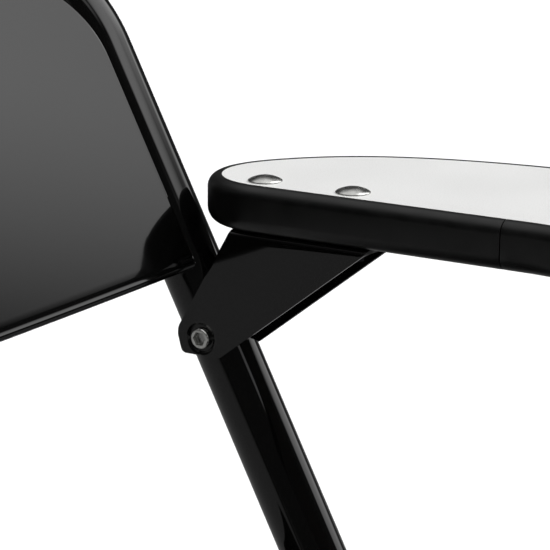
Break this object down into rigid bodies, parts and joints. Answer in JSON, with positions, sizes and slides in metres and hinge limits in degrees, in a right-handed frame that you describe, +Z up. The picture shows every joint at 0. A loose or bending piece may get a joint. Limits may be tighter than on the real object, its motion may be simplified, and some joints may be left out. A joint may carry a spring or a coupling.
{
  "type": "folding tablet arm chair",
  "caption": "Folding steel chair on a bent tube frame with sheet back and seat, leaning rear legs, folding straps and a left-hand writing tablet on a pivoting channel bracket",
  "frame": {"origin": "middle of the footprint of the open chair on the floor, between the outermost pieces in plan", "axes": "+X to the sitter's left (the tablet side), +Y to the rear, +Z up"},
  "size_m": [0.5576, 0.7364, 0.7615],
  "materials": {
    "black_enamel": "glossy black baked enamel on steel",
    "rubber": "moulded black rubber",
    "black_vinyl": "satin black extruded vinyl",
    "laminate": "pale grey high-pressure laminate",
    "chipboard": "chipboard core",
    "backing_sheet": "dark backing laminate",
    "black_oxide": "black oxide on steel",
    "zinc_steel": "bright zinc plate"
  },
  "bodies": {
    "frame": {"back_frame_tube": "black_enamel", "back_panel": "black_enamel", "front_cross_brace": "black_enamel", "tablet_pivot_sleeve": "zinc_steel", "front_foot_cap_left": "rubber", "front_foot_cap_right": "rubber", "seat_pivot_rivet_left": "zinc_steel", "seat_pivot_rivet_right": "zinc_steel", "seat_pivot_spacer_left": "zinc_steel", "seat_pivot_spacer_right": "zinc_steel", "strap_post_rivet_left": "zinc_steel", "strap_post_rivet_right": "zinc_steel", "strap_post_spacer_left": "zinc_steel", "strap_post_spacer_right": "zinc_steel"},
    "seat": {"seat_pan": "black_enamel", "hinge_plate_rivets": "zinc_steel", "hinge_plate_left": "black_enamel", "hinge_plate_right": "black_enamel"},
    "rear_legs": {"rear_lower_brace": "black_enamel", "rear_upper_brace": "black_enamel", "rear_leg_left": "black_enamel", "rear_leg_right": "black_enamel", "rear_leg_plug_left": "black_vinyl", "rear_leg_plug_right": "black_vinyl", "rear_foot_cap_left": "rubber", "rear_foot_cap_right": "rubber", "leg_pivot_rivet_left": "zinc_steel", "leg_pivot_rivet_right": "zinc_steel", "strap_leg_rivet_left": "zinc_steel", "strap_leg_rivet_right": "zinc_steel", "strap_leg_spacer_left": "zinc_steel", "strap_leg_spacer_right": "zinc_steel"},
    "straps": {"folding_strap_left": "black_enamel", "folding_strap_right": "black_enamel"},
    "tablet": {"tablet_backer": "backing_sheet", "tablet_board": "chipboard", "tablet_laminate": "laminate", "tablet_edge_moulding": "black_vinyl", "tablet_bracket": "black_enamel", "tablet_bolt_rear": "zinc_steel", "tablet_bolt_front": "zinc_steel", "tablet_bolt_washers": "black_oxide", "tablet_bolt_nuts": "black_oxide", "pivot_bolt": "zinc_steel", "pivot_washer": "zinc_steel", "pivot_lock_nut": "zinc_steel"}
  },
  "joints": [
    {"name": "seat_fold", "type": "hinge", "parent": "frame", "child": "seat", "pos_m": [0, 0.11822, 0.42558], "axis": [1, 0, 0], "range_deg": [0, 62]},
    {"name": "rear_leg_fold", "type": "hinge", "parent": "seat", "child": "rear_legs", "pos_m": [0, 0.23822, 0.38558], "axis": [1, 0, 0], "range_deg": [-104, 0]},
    {"name": "strap_fold", "type": "hinge", "parent": "frame", "child": "straps", "pos_m": [0, 0.08794, 0.36863], "axis": [1, 0, 0], "range_deg": [0, 50.5]},
    {"name": "tablet_swing", "type": "hinge", "parent": "frame", "child": "tablet", "pos_m": [0, 0.20296, 0.58665], "axis": [1, 0, 0], "range_deg": [0, 62]}
  ],
  "couplings": [
    {"joint": "rear_leg_fold", "follows": "seat_fold", "ratio": -1.6751},
    {"joint": "strap_fold", "follows": "seat_fold", "ratio": 0.8062},
    {"joint": "tablet_swing", "follows": "seat_fold", "ratio": 1}
  ]
}
